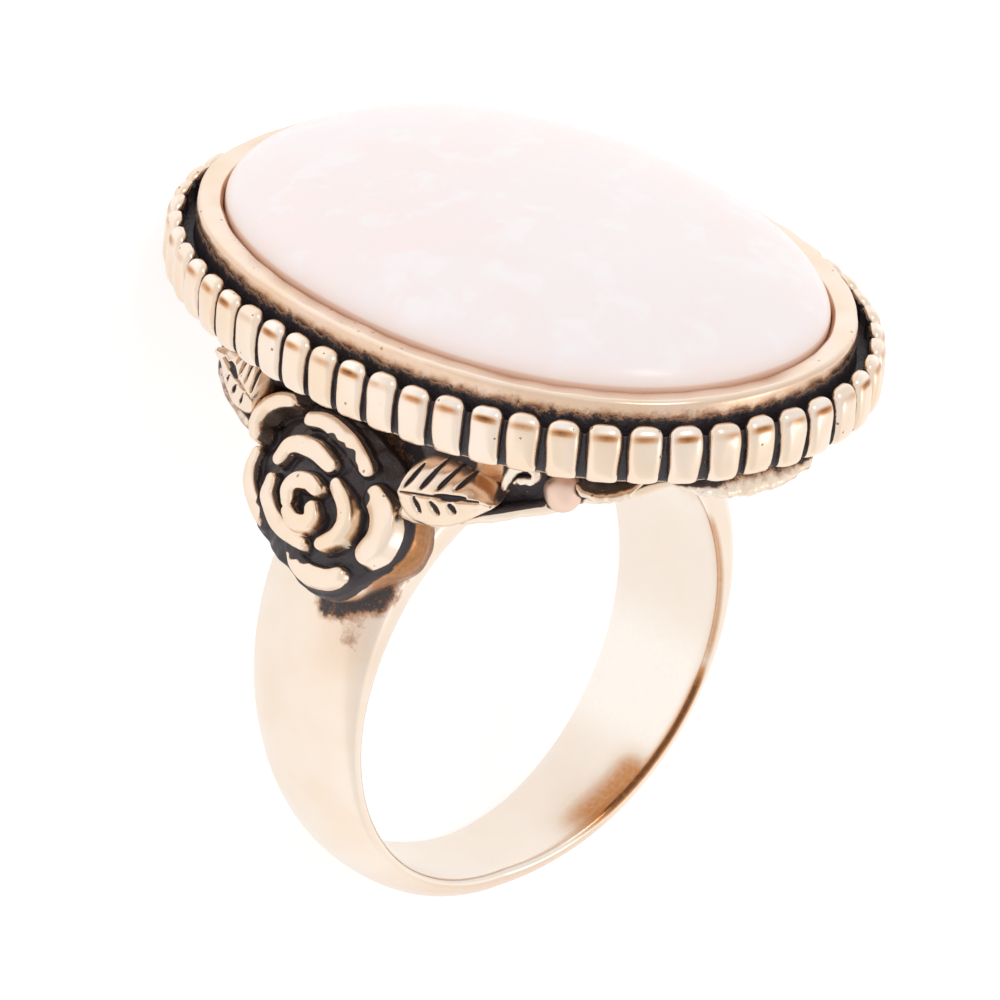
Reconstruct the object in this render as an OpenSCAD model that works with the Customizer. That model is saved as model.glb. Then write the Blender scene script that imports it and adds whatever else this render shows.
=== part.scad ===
// A finger ring with a large oval opal cabochon, lying on its side.
// Everything is drawn as the ring is worn: the finger along Y, the stone up, the roses at +X and -X.
// The last step lays the finished ring down on the floor. Units are millimetres.

/* [Band] */
// Radius of the finger hole
finger_r = 8.7; // [8:0.05:9.5]
// Thickness of the band at the palm
palm_t = 1.15; // [1:0.05:1.8]
// Thickness of the shoulder, under the rose
shoulder_t = 2.2; // [2:0.1:2.8]
// Width of the band at the palm
palm_w = 3.5; // [3:0.1:4.5]
// Width of the band under the head
head_w = 6.6; // [6:0.1:7]

/* [Bezel] */
// Length of the bezel's rim, along the finger
bezel_l = 27; // [25:0.5:28]
// Width of the bezel's rim, across the finger
bezel_w = 20.2; // [19:0.2:21]
// Width of the flat metal rim around the stone
rim_w = 1; // [0.8:0.1:1.4]
// Height of the rim's top above the centre of the finger hole
rim_z = 15.45; // [15.2:0.05:16]
// Squareness of the oval: 2 is a true ellipse
oval_n = 2.15; // [2:0.05:2.4]

/* [Ribbed border] */
// Number of ribs
rib_count = 56; // [48:4:64]
// How far the ribs stand out from the bezel's rim
rib_reach = 1.1; // [0.9:0.05:1.4]
// Height of the rib tops above the centre of the finger hole
rib_top_z = 15.05; // [14.8:0.05:15.2]
// Height of the border's lower edge
rib_low_z = 12.8; // [12.5:0.05:13]
// Depth of the grooves between the ribs
groove = 0.34; // [0.2:0.02:0.4]
// Width of the dark channel between the rim and the ribs
trench_w = 0.4; // [0.3:0.05:0.5]

/* [Stone] */
// Height of the dome above the rim
dome_h = 2.8; // [2:0.1:3.4]
// Depth of the stone below the rim
stone_depth = 2; // [1.6:0.1:2.4]
// Gap of glue around the stone
glue_gap = 0.06; // [0.04:0.01:0.1]

/* [Roses and leaves] */
// Radius of a rose
rose_r = 3.8; // [3.4:0.1:4]
// Upward lean of a rose's face
rose_lean = 30; // [25:1:35]
// Width of a leaf
leaf_w = 2.7; // [2.4:0.1:3]
// Radius of the beads on the gallery
bead_r = 0.58; // [0.4:0.02:0.66]

/* [Hidden] */

metal_colour = [0.93, 0.78, 0.62];
opal_colour = [0.95, 0.88, 0.88];

// Steps around the ovals, around the band, and around small round things.
oval_steps = 72;
band_steps = 48;
petal_steps = 6;
big = 60;

// The oval, and curves that run at an even distance from it.
// 0 degrees is +X and 90 degrees is +Y, and u is the distance out from the bezel's own edge.
function signed_pow(v, p) = sign(v) * pow(abs(v), p);
function oval(t) = [
    bezel_w / 2 * signed_pow(cos(t), 2 / oval_n),
    bezel_l / 2 * signed_pow(sin(t), 2 / oval_n)
];
function outward(t) =
    let (g = [signed_pow(cos(t), 2 - 2 / oval_n) / bezel_w, signed_pow(sin(t), 2 - 2 / oval_n) / bezel_l])
    g / norm(g);
function beside(t, u) = oval(t) + u * outward(t);

// Length run along the oval, so that ribs and steps can be spaced evenly on it.
run_steps = 360;
run_table = [
    for (i = 0, run = 0; i <= run_steps; run = run + norm(oval(i + 1) - oval(i)), i = i + 1) [run, i]
];
function even(share) = lookup(share * run_table[run_steps][0], run_table);

// A solid from closed rings of points, each ring the same length: sides, then the two ends.
module skin(rings) {
    n = len(rings[0]);
    last = len(rings) - 1;
    sides = [
        for (j = [0 : last - 1], i = [0 : n - 1]) let (k = (i + 1) % n)
            each [[j * n + i, (j + 1) * n + k, j * n + k], [j * n + i, (j + 1) * n + i, (j + 1) * n + k]]
    ];
    ends = [[for (i = [0 : n - 1]) i], [for (i = [n - 1 : -1 : 0]) last * n + i]];
    polyhedron(points = [for (r = rings) each r], faces = concat(sides, ends), convexity = 10);
}

// The same, with the last ring joined to the first.
module closed_skin(rings) {
    n = len(rings[0]);
    m = len(rings);
    faces = [
        for (j = [0 : m - 1], i = [0 : n - 1]) let (k = (i + 1) % n, l = (j + 1) % m)
            each [[j * n + i, l * n + k, j * n + k], [j * n + i, l * n + i, l * n + k]]
    ];
    polyhedron(points = [for (r = rings) each r], faces = faces, convexity = 10);
}

// A stack of ovals: each level is [u, z].
module oval_stack(levels) {
    skin([
        for (l = levels) [
            for (i = [0 : oval_steps - 1]) let (p = beside(even(i / oval_steps), l[0])) [p[0], p[1], l[1]]
        ]
    ]);
}

// The band: 0 degrees is at the palm. Its width and thickness grow towards the head.
width_ease = 0.55;
shoulder_from = 70;
shoulder_to = 150;
edge_share = 0.42; // how thick the band's edge is, as a share of its middle
bore_spare = 0.4; // the band is drawn this far inside the hole, which is drilled last
eased = [0.1, 0.25]; // how far in and how high the band's inner edges are eased
function rise(a) = (1 - cos(a)) / 2;
function half_width(a) = palm_w / 2 + (head_w - palm_w) / 2 * pow(rise(a), width_ease);
function ease(a) =
    let (s = min(max((min(a, 360 - a) - shoulder_from) / (shoulder_to - shoulder_from), 0), 1)) s * s * (3 - 2 * s);
function thickness(a) = palm_t + (shoulder_t - palm_t) * ease(a);
function around(a, y, r) = [r * sin(a), y, -r * cos(a)];
dome_steps = 6;
function band_section(a) =
    let (h = half_width(a), t = thickness(a))
    concat(
        [around(a, eased[0] - h, finger_r - bore_spare), around(a, h - eased[0], finger_r - bore_spare)],
        [around(a, h, finger_r + eased[1])],
        [
            for (i = [dome_steps : -1 : 0]) let (e = 180 * i / dome_steps)
                around(a, -h * cos(e), finger_r + t * (edge_share + (1 - edge_share) * sin(e)))
        ],
        [around(a, -h, finger_r + eased[1])]
    );

module band() closed_skin([for (i = [band_steps : -1 : 1]) band_section(360 * i / band_steps)]);

// The head: the plate, the trench floor, the bezel's wall and its rim, around the pocket for the stone.
trench_z = 14.1;
seat_z = rim_z - stone_depth;
rim_round = 0.2;
module head() {
    difference() {
        oval_stack([
            [rib_reach / 2, rib_low_z + 0.05], [rib_reach / 2, trench_z], [0, trench_z],
            [0, rim_z - rim_round], [-rim_round, rim_z]
        ]);
        oval_stack([[-rim_w, seat_z], [-rim_w, rim_z - rim_round], [-rim_w + rim_round, rim_z + 0.1]]);
    }
}

// The ribbed border. A rib's height across its pitch, as [share of the pitch, share of the height].
rib_form = [[0, 0], [0.2, 0.8], [0.5, 1], [0.8, 0.8]];
rib_shoulder = 0.3;
rib_root = -0.6;
rib_crest = [rib_reach - 0.14, rib_top_z - rib_shoulder];
low_round = 0.5;
function rib_section(t, k) =
    let (
        drop = groove * (1 - k),
        section = [
            [rib_root, rib_low_z],
            [trench_w, trench_z - 0.3],
            [trench_w, trench_z + 0.2 + rib_shoulder * k],
            [trench_w + 0.2, rib_top_z - drop],
            rib_crest - [drop, drop],
            [rib_reach - drop, rib_top_z - 2 * rib_shoulder - drop],
            [rib_reach - drop, rib_low_z + low_round],
            [rib_reach - 0.4 - drop / 2, rib_low_z]
        ]
    )
    [for (s = section) let (p = beside(t, s[0])) [p[0], p[1], s[1]]];

module ribs() {
    closed_skin([
        for (i = [0 : rib_count - 1], f = rib_form)
            rib_section(even((i + f[0] + 0.5) / rib_count % 1), f[1])
    ]);
}

// The gallery under the head: its lower edge climbs from the band's edge towards the head's two tips.
gallery_in = -1.75;
keel_clear = 0.3; // the lower edge stays this far outside the finger hole
climb = 0.25; // slope of the lower edge where it leaves the band
climb_more = 0.0157; // and how fast that slope grows
keel_steps = 5;
rose_mid = [9.05, 0, 8.43];
function keel_z(y) = let (d = max(abs(y) - head_w / 2, 0)) finger_r + max(keel_clear, climb * d + climb_more * d * d);
keel_run = (sqrt(climb * climb + 4 * climb_more * (rib_low_z - finger_r)) - climb) / (2 * climb_more);
keel = concat(
    [[head_w / 2 - keel_clear, finger_r + keel_clear]],
    [for (i = [1 : keel_steps]) let (y = head_w / 2 + keel_run * i / keel_steps) [y, keel_z(y)]]
);
module at_rose() translate(rose_mid) rotate([0, 90 - rose_lean, 0]) rotate(90) children();
module gallery() {
    difference() {
        intersection() {
            oval_stack([[gallery_in, finger_r - 1], [gallery_in, rib_low_z + 0.2]]);
            rotate([90, 0, 90])
                linear_extrude(height = big, center = true)
                    polygon(concat(
                        keel,
                        [[keel[keel_steps][0], rib_low_z + 0.1], [-keel[keel_steps][0], rib_low_z + 0.1]],
                        [for (i = [keel_steps : -1 : 0]) [-keel[i][0], keel[i][1]]]
                    ));
        }
        for (side = [0, 180]) rotate(side) at_rose() translate([0, 0, -0.7]) cylinder(r = rose_r + 0.3, h = 9, $fn = 48);
    }
}

// The rail along the gallery's lower edge, under the leaves and around both tips, and the beads on it.
// Its path is [degrees around the oval, distance out from the bezel's edge]: it swells out under a leaf.
// Its section is [distance out from that path, height], as shares of its radius.
rail_path = [[15.5, -1.05], [22, -0.75], [27, -0.6], [33, -0.75], [38, -1.45], [43, -1.6], [90, -1.6]];
rail_r = 0.42;
rail_form = [[0, -1], [0.87, -0.5], [0.87, 0.5], [0, 1]];
bead_at = 46.3; // where a bead sits
function rail_u(t) = lookup(90 - abs(90 - t), rail_path);
function rail_point(t, u, h) =
    let (z = keel_z(beside(t, rail_u(t))[1]), p = beside(t, u)) [p[0], p[1], z + rail_r / 2 + h];
module rail() {
    rail_from = rail_path[0][0];
    rail_root = gallery_in - 0.3;
    steps = 24;
    skin([
        for (i = [0 : steps]) let (t = rail_from + (180 - 2 * rail_from) * i / steps) concat(
            [rail_point(t, rail_root, 0.6 * rail_r)],
            [for (f = [3 : -1 : 0]) rail_point(t, rail_u(t) + rail_r * rail_form[f][0], rail_r * rail_form[f][1])],
            [rail_point(t, rail_root, -0.6 * rail_r)]
        )
    ]);
}

module beads() {
    for (t = [bead_at, 180 - bead_at])
        translate(rail_point(t, rail_u(t), 0.4)) sphere(r = bead_r, $fn = 10);
}

// A leaf: a raised lens with a midrib and veins, wrapped on the gallery's wall between a rose and a tip.
// It stands further off the wall towards its tip.
leaf_rows = 8;
leaf_cols = 6;
leaf_from = 16; // where its root is, in degrees around the oval
leaf_to = 36; // where its tip is
leaf_root_u = -1.1;
leaf_root_z = 10.2;
leaf_tip_z = 11.35;
leaf_thick = 0.35;
leaf_curl = 0.45;
function leaf_point(s, v, base) =
    let (
        half = leaf_w / 2 * pow(sin(180 * pow(s, 0.8)), 0.7) + 0.03,
        midrib = abs(v) < 0.01 ? -0.12 : 0,
        veins = 0.08 * cos(360 * (3.5 * s - 0.9 * abs(v))),
        u = base ? gallery_in - 0.3 : leaf_root_u + leaf_curl * s + leaf_thick * (1.4 - v * v) + midrib + veins,
        p = beside(leaf_from + (leaf_to - leaf_from) * s, u)
    )
    [p[0], p[1], leaf_root_z + (leaf_tip_z - leaf_root_z) * s + half * v];
module leaf() {
    skin([
        for (i = [leaf_rows : -1 : 0]) concat(
            [for (j = [0 : leaf_cols]) leaf_point(i / leaf_rows, 2 * j / leaf_cols - 1, false)],
            [for (j = [leaf_cols : -leaf_cols : 0]) leaf_point(i / leaf_rows, 2 * j / leaf_cols - 1, true)]
        )
    ]);
}

// The rose: a boss, and petals as raised arcs on it.
// A petal is [start, middle, end, width, crest height]: x runs towards +Y and y runs up the disc.
petals = [
    [[-2.9, 1.9], [-3.6, 1.4], [-3.2, 0.35], 1.00, 0.15],
    [[-2.1, 2.1], [-0.1, 2.0], [2.0, 1.2], 0.85, 0.35],
    [[2.4, 1.0], [3.15, 0.0], [3.2, -1.4], 1.50, 0.20],
    [[-0.6, -2.3], [1.1, -2.85], [2.85, -2.2], 1.00, 0.10],
    [[-3.75, 0.1], [-3.3, -1.1], [-1.8, -1.85], 0.70, 0.00],
    [[-2.05, 0.2], [-1.2, 0.95], [0.15, 0.7], 0.95, 0.85],
    [[-1.8, -0.3], [-1.1, -1.35], [0.9, -1.65], 0.80, 0.75],
    [[0.92, 0.5], [1.85, -0.6], [1.4, -1.6], 0.85, 0.80],
    [[0.5, -0.3], [-0.35, 0.05], [-0.45, -0.75], 0.72, 1.12],
    [[0.75, -0.55], [0.95, -1.1], [0.15, -1.15], 0.68, 1.07]
];
petal_lift = 0.45;
petal_form = [[-1, -2.6], [-0.9, -0.5], [0, 0], [0.9, -0.5], [1, -2.6]];
rose_boss = [[3.3, -2.8], [3.3, -0.8], [2.9, -0.6], [2.2, -0.1], [1.2, 0.3]];
function petal_mid(p, s) =
    p[0] * (1 - s) * (1 - 2 * s) + p[1] * 4 * s * (1 - s) + p[2] * s * (2 * s - 1);
module petal(p) {
    skin([
        for (i = [petal_steps : -1 : 0]) let (
            s = i / petal_steps,
            c = petal_mid(p, s),
            run = petal_mid(p, s + 0.01) - petal_mid(p, s - 0.01),
            o = [-run[1], run[0]] / norm(run),
            taper = 0.35 + 0.65 * pow(sin(180 * (0.06 + 0.88 * s)), 0.5)
        ) [
            for (q = petal_form) let (e = c + o * p[3] / 2 * taper * q[0])
                [e[0], e[1], p[4] + petal_lift * (taper * q[1] + (taper - 1) / 2)]
        ]
    ]);
}

module rose() {
    at_rose() {
        rotate_extrude($fn = 24) polygon(concat([[0, rose_boss[0][1]]], rose_boss, [[0, 0.2]]));
        for (p = petals) petal(p);
    }
}

module casting() {
    band();
    head();
    ribs();
    gallery();
    for (end = [0, 1]) mirror([0, end, 0]) {
        rail();
        beads();
        for (side = [0, 1]) mirror([side, 0, 0]) leaf();
    }
    for (side = [0, 180]) rotate(side) rose();
}

// All of the metal is one casting. Its overall length and width are set by the border, and the finger hole is drilled last.
border_l = bezel_l + 2 * rib_reach;
border_w = bezel_w + 2 * rib_reach;
module worn_metal() {
    difference() {
        resize([border_w, border_l, 0]) casting();
        rotate([90, 0, 0]) cylinder(r = finger_r, h = big, center = true, $fn = 96);
    }
}

// The opal: flat under, a short upright edge inside the bezel, and a low dome.
edge_h = stone_depth - 0.25;
dome_rings = 9;
module worn_opal() {
    u = -rim_w - glue_gap;
    crown = dome_h + stone_depth - edge_h;
    skin(concat(
        [[for (i = [0 : oval_steps - 1]) stone_point(i, 1, seat_z + glue_gap)]],
        [
            for (j = [0 : dome_rings]) let (e = 88 * j / dome_rings)
                [for (i = [0 : oval_steps - 1]) stone_point(i, cos(e), seat_z + edge_h + crown * sin(e))]
        ]
    ));
}
function stone_point(i, share, z) =
    let (p = beside(even(i / oval_steps), -rim_w - glue_gap) * share) [p[0], p[1], z];

// The ring lies on the border's edge at one tip of the head and on the edge of the band at the palm.
touch_a = 360 / band_steps; // the band touches the floor this far to each side of the palm, in degrees
touch_head = [-border_l / 2, rib_low_z + low_round];
touch_band = [-half_width(touch_a), -(finger_r + edge_share * thickness(touch_a)) * cos(touch_a)];
lie_turn = atan2(touch_head[1] - touch_band[1], touch_band[0] - touch_head[0]);
function lain(p) = [p[0] * cos(lie_turn) - p[1] * sin(lie_turn), p[0] * sin(lie_turn) + p[1] * cos(lie_turn)];
floor_z = lain(touch_head)[1];
// The middle of the lying ring, between the outside of the palm and the top of the border's ribs.
palm_far = max([
    for (e = [0 : 180 / dome_steps : 180])
        lain([half_width(0) * cos(e), -finger_r - palm_t * (edge_share + (1 - edge_share) * sin(e))])[0]
]);
border_far = lain([-bezel_l / 2 - trench_w - 0.2, rib_top_z])[0];
mid_y = (palm_far + border_far) / 2;
module lie_down() translate([0, -mid_y, -floor_z]) rotate([lie_turn, 0, 0]) children();

module ring_metal() color(metal_colour) lie_down() worn_metal();
module opal() color(opal_colour) lie_down() worn_opal();

ring_metal();
opal();
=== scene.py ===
# An antiqued rose gold ring with an oval opal, lying on its side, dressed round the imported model.
# Every shape is drawn as the ring is worn, in millimetres: the finger along Y, the stone up, the roses at +X and -X.
# lyingMatrix turns each finished mesh over onto the floor, in metres.
import math

import bmesh
import bpy
import numpy as np
from mathutils import Matrix, Vector
from mathutils.bvhtree import BVHTree


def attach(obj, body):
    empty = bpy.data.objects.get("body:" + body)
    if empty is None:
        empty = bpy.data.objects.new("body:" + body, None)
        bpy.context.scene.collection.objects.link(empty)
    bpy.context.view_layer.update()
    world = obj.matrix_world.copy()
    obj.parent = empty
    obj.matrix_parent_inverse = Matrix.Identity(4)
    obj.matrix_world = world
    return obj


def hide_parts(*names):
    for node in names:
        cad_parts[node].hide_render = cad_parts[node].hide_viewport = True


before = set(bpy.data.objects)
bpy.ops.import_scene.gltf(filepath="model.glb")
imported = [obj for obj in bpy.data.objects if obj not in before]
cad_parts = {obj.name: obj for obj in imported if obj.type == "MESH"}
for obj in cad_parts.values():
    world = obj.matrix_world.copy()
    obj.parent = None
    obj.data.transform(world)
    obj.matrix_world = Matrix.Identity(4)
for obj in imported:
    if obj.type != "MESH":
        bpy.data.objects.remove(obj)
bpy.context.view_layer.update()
print("frame loaded:", sorted(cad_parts))

scene = bpy.context.scene
scene.view_settings.view_transform = "Standard"
millimetre = 0.001

# How the worn ring is turned over onto the floor
lying = {"turn": 60.3124, "alongY": 5.51994, "up": 6.0965}
lyingMatrix = (
    Matrix.Scale(millimetre, 4)
    @ Matrix.Translation((0, lying["alongY"], lying["up"]))
    @ Matrix.Rotation(math.radians(lying["turn"]), 4, "X")
)


def linked(name, data):
    thing = bpy.data.objects.new(name, data)
    scene.collection.objects.link(thing)
    return thing


# Camera, at the photograph's angle to the ring
cameraSizes = {
    "place": (0.24864, -0.01779, 0.31674),
    "right": (-0.74290, 0.26386, 0.61521),
    "down": (0.23344, 0.96347, -0.13132),
    "forward": (-0.62738, 0.04605, -0.77735),
    "lens": 390.02, "sensor": 36, "near": 0.02, "far": 10,
}


def makeCamera():
    c = cameraSizes
    data = bpy.data.cameras.new("camera")
    data.lens, data.sensor_width = c["lens"], c["sensor"]
    data.clip_start, data.clip_end = c["near"], c["far"]
    camera = linked("camera", data)
    axes = [Vector(c["right"]), -Vector(c["down"]), -Vector(c["forward"])]
    camera.rotation_mode = "QUATERNION"
    camera.rotation_quaternion = Matrix(axes).transposed().to_quaternion()
    camera.location = c["place"]
    scene.camera = camera


makeCamera()


# Small helpers for node trees
def addNode(tree, kind, sockets=None, **settings):
    node = tree.nodes.new(kind)
    for name, value in settings.items():
        setattr(node, name, value)
    for key, value in (sockets or {}).items():
        if isinstance(value, bpy.types.NodeSocket):
            tree.links.new(value, node.inputs[key])
        else:
            node.inputs[key].default_value = value
    return node


def mathNode(tree, operation, a, b=0.0):
    return addNode(tree, "ShaderNodeMath", {0: a, 1: b}, operation=operation).outputs[0]


def times(tree, a, b):
    return mathNode(tree, "MULTIPLY", a, b)


def plus(tree, a, b):
    return mathNode(tree, "ADD", a, b)


def mixColour(tree, share, a, b):
    return addNode(tree, "ShaderNodeMix", {0: share, 6: a, 7: b}, data_type="RGBA").outputs[2]


def mapRange(tree, value, low, high, toLow=0.0, toHigh=1.0, smooth=False):
    sockets = {0: value, 1: low, 2: high, 3: toLow, 4: toHigh}
    kind = "SMOOTHSTEP" if smooth else "LINEAR"
    return addNode(tree, "ShaderNodeMapRange", sockets, interpolation_type=kind).outputs[0]


def noiseNode(tree, place, scale, detail, rough=0.5, distortion=0.0):
    sockets = {"Vector": place, "Scale": scale, "Detail": detail, "Roughness": rough, "Distortion": distortion}
    return addNode(tree, "ShaderNodeTexNoise", sockets).outputs[0]


def newMaterial(name):
    # An empty material, and its object coordinates turned back to the worn ring, in millimetres
    material = bpy.data.materials.new(name)
    material.use_nodes = True
    tree = material.node_tree
    tree.nodes.clear()
    sockets = {
        "Vector": addNode(tree, "ShaderNodeTexCoord").outputs["Object"],
        "Location": (0, lying["alongY"] * millimetre, lying["up"] * millimetre),
        "Rotation": (math.radians(lying["turn"]), 0, 0),
        "Scale": (millimetre, millimetre, millimetre),
    }
    return material, tree, addNode(tree, "ShaderNodeMapping", sockets, vector_type="TEXTURE").outputs[0]


def addShader(tree, sockets):
    shader = addNode(tree, "ShaderNodeBsdfPrincipled", sockets)
    addNode(tree, "ShaderNodeOutputMaterial", {"Surface": shader.outputs[0]})


# Metal finishes. A patina attribute on each mesh says where the dark antiquing has stayed, and a second
# attribute where painted shade and painted reflection turn the metal brown and painted highlight turns it whiter,
# with a little warm bare metal. Noise scales are in each millimetre, heights in millimetres.
# the white, amber and umber tones are for painted highlight, painted shade and painted reflection; amber also for warm
# bare metal
goldTone = {
    "bright": (0.88, 0.745, 0.635, 1),
    "deep": (0.855, 0.675, 0.51, 1),
    "palest": (0.865, 0.765, 0.67, 1),
    "pale": (0.85, 0.715, 0.59, 1),
    "pink": (0.84, 0.63, 0.52, 1),
    "highlightWhite": (0.97, 0.91, 0.85, 1),
    "amberShadeAndWarmth": (0.58, 0.275, 0.115, 1),
    "umberShadeAndReflection": (0.17, 0.075, 0.038, 1),
    "dark": (0.042, 0.032, 0.036, 1),
    "brown": (0.30, 0.125, 0.055, 1),
}
goldSizes = {
    "softScale": 0.35, "fineScale": 5.5, "raggedScale": 2.4, "waveScale": 0.9,
    "raggedBy": 0.5, "dark": (0.44, 0.56), "border": (0.30, 0.50), "borderShare": 0.8,
    "fineRough": 0.10, "darkRough": 0.38, "darkMetal": 0.15, "darkGrain": 0.09,
    "pitScale": 1.7, "pitReach": (0.02, 0.14), "pitBrown": 0.75, "pitDepth": 0.03,
}


def goldMaterial(name, tones, rough=0.25, wave=0.012, grain=0.0015, pits=0.0):
    g = goldSizes
    material, tree, place = newMaterial(name)
    soft = noiseNode(tree, place, g["softScale"], 2.0)
    fine = noiseNode(tree, place, g["fineScale"], 5.0, 0.6)
    ragged = noiseNode(tree, place, g["raggedScale"], 5.0, 0.65)
    gold = mixColour(tree, mapRange(tree, soft, 0.35, 0.7), goldTone[tones[0]], goldTone[tones[1]])

    # painted shade and painted reflection, from amber to umber (amber also for warm bare metal), and below zero a
    # painted whiter highlight
    warmth = addNode(tree, "ShaderNodeAttribute", attribute_name="paintedLightAndWarmth").outputs["Fac"]
    warmth = times(tree, warmth, mapRange(tree, fine, 0.35, 0.65, 0.88, 1.06))
    for low, high, tone in ((0.0, -1.0, "highlightWhite"), (0.0, 1.0, "amberShadeAndWarmth"), (1.0, 2.0, "umberShadeAndReflection")):
        gold = mixColour(tree, mapRange(tree, warmth, low, high), gold, goldTone[tone])

    # dark antiquing in the recesses, with a brown, ragged border
    depth = addNode(tree, "ShaderNodeAttribute", attribute_name="patina").outputs["Fac"]
    level = plus(tree, depth, times(tree, plus(tree, ragged, -0.5), g["raggedBy"]))
    dark = mapRange(tree, level, *g["dark"], smooth=True)
    border = mapRange(tree, level, *g["border"], 0.0, g["borderShare"], smooth=True)
    colour = mixColour(tree, border, gold, goldTone["brown"])
    colour = mixColour(tree, dark, colour, goldTone["dark"])

    height = times(tree, noiseNode(tree, place, g["waveScale"], 2.0), wave)
    height = plus(tree, height, times(tree, fine, grain))
    height = plus(tree, height, times(tree, times(tree, ragged, dark), g["darkGrain"]))
    if pits:
        # a few casting pits, dark at the bottom
        cells = addNode(tree, "ShaderNodeTexVoronoi", {"Vector": place, "Scale": g["pitScale"]}, feature="F1")
        size = addNode(tree, "ShaderNodeSeparateColor", {0: cells.outputs["Color"]}).outputs[0]
        hole = mathNode(tree, "DIVIDE", cells.outputs["Distance"], mapRange(tree, size, 0.0, 1.0, *g["pitReach"]))
        hole = times(tree, mapRange(tree, hole, 0.6, 1.0, 1.0, 0.0, smooth=True), pits)
        colour = mixColour(tree, times(tree, hole, g["pitBrown"]), colour, goldTone["brown"])
        height = plus(tree, height, times(tree, hole, -g["pitDepth"]))

    roughness = plus(tree, rough, times(tree, plus(tree, fine, -0.5), g["fineRough"]))
    bump = addNode(tree, "ShaderNodeBump", {"Height": height, "Distance": millimetre, "Strength": 1.0}).outputs[0]
    addShader(tree, {
        "Base Color": colour,
        "Metallic": mapRange(tree, dark, 0.0, 1.0, 1.0, g["darkMetal"]),
        "Roughness": addNode(tree, "ShaderNodeMix", {0: dark, 2: roughness, 3: g["darkRough"]}).outputs[0],
        "Normal": bump, "IOR": 1.5,
    })
    return material


opalTone = {
    "milk": (0.865, 0.79, 0.80, 1),
    "warm": (0.88, 0.775, 0.765, 1),
    "fleck": (0.875, 0.85, 0.865, 1),
    # low and foot: painted warm reflection of the rim, on the lower dome and at the stone's edge
    "low": (0.90, 0.74, 0.68, 1),
    "foot": (0.80, 0.50, 0.36, 1),
}


def opalMaterial(name):
    material, tree, place = newMaterial(name)
    clouds = noiseNode(tree, place, 0.13, 3.0, 0.5, 0.6)
    flecks = noiseNode(tree, place, 0.55, 4.0, 0.55, 0.3)
    height = addNode(tree, "ShaderNodeSeparateXYZ", {0: place}).outputs[2]
    colour = opalTone["milk"]
    # each tone laid over the last: between which levels of what, and how much of it there is at each
    for source, low, high, atLow, atHigh, tone in (
        (clouds, 0.40, 0.62, 0.0, 1.0, "warm"), (flecks, 0.52, 0.66, 0.0, 0.55, "fleck"),
        # painted warm reflection of the rim: over the lower dome, and stronger at the stone's foot
        (height, 15.5, 16.7, 0.85, 0.0, "low"), (height, 15.74, 15.86, 0.8, 0.0, "foot"),
    ):
        colour = mixColour(tree, mapRange(tree, source, low, high, atLow, atHigh, smooth=True), colour, opalTone[tone])
    addShader(tree, {
        "Base Color": colour, "Roughness": 0.22, "IOR": 1.46, "Coat Weight": 0.1, "Coat Roughness": 0.1,
        "Subsurface Weight": 0.25, "Subsurface Scale": 1.5 * millimetre, "Subsurface Radius": (1.0, 0.7, 0.6),
    })
    return material


materials = {
    "band": goldMaterial("bandGold", ("palest", "pale"), grain=0.0),
    "rim": goldMaterial("rimGold", ("bright", "deep"), wave=0.014, grain=0.003, pits=0.8),
    "rib": goldMaterial("ribGold", ("bright", "deep"), pits=1.0),
    "carving": goldMaterial("carvedGold", ("bright", "deep"), wave=0.010, pits=0.8),
    "bead": goldMaterial("beadGold", ("pink", "pink"), rough=0.48, grain=0.006, pits=0.6),
    "gallery": goldMaterial("galleryGold", ("palest", "deep"), rough=0.30, wave=0.020, grain=0.006, pits=1.0),
    "opal": opalMaterial("pinkOpal"),
}
print("finishes made")

# The oval of the bezel, and curves beside it. Angles are in radians from +X, and u is the distance out.
oval = {"length": 27.0, "width": 20.2, "squareness": 2.15}


def signedPow(values, power):
    return np.sign(values) * np.abs(values) ** power


def unit(vectors):
    return vectors / np.maximum(np.linalg.norm(vectors, axis=-1, keepdims=True), 1e-9)


def ovalPoint(angle):
    power = 2 / oval["squareness"]
    x, y = signedPow(np.cos(angle), power), signedPow(np.sin(angle), power)
    return np.stack([oval["width"] / 2 * x, oval["length"] / 2 * y], axis=-1)


def beside(angle, u):
    power = 2 - 2 / oval["squareness"]
    x, y = signedPow(np.cos(angle), power), signedPow(np.sin(angle), power)
    out = unit(np.stack([x / oval["width"], y / oval["length"]], axis=-1))
    return ovalPoint(angle) + np.asarray(u)[..., None] * out


runAngles = np.linspace(0, 2 * np.pi, 2881)
runLengths = np.concatenate([[0], np.cumsum(np.linalg.norm(np.diff(ovalPoint(runAngles), axis=0), axis=1))])


def evenAngles(count):
    shares = np.arange(count) / count
    return np.interp(shares * runLengths[-1], runLengths, runAngles)


# Soft steps: 0 below low and 1 above high, the other way round, and both in one
def step(values, low, high):
    share = np.clip((values - low) / (high - low), 0, 1)
    return share * share * (3 - 2 * share)


def fade(values, low, high):
    return 1 - step(values, low, high)


def window(values, begins, full, fades, gone):
    return step(values, begins, full) * fade(values, fades, gone)


def hump(values, middle, width):
    return np.exp(-((values - middle) / width) ** 2)


# Mesh helpers
def readValues(items, key, width, kind=float):
    values = np.empty(len(items) * width, dtype=kind)
    items.foreach_get(key, values)
    return values.reshape(-1, width)


def meshPoints(piece):
    return readValues(piece.data.vertices, "co", 3)


def pointValues(piece, name):
    return readValues(piece.data.attributes[name].data, "value", 1)[:, 0]


def keepValues(piece, name, values):
    attribute = piece.data.attributes.new(name, "FLOAT", "POINT")
    attribute.data.foreach_set("value", np.asarray(values, np.float32).ravel())


def newObject(name, points, faces):
    mesh = bpy.data.meshes.new(name)
    mesh.from_pydata([tuple(p) for p in points], [], faces)
    return linked(name, mesh)


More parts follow.
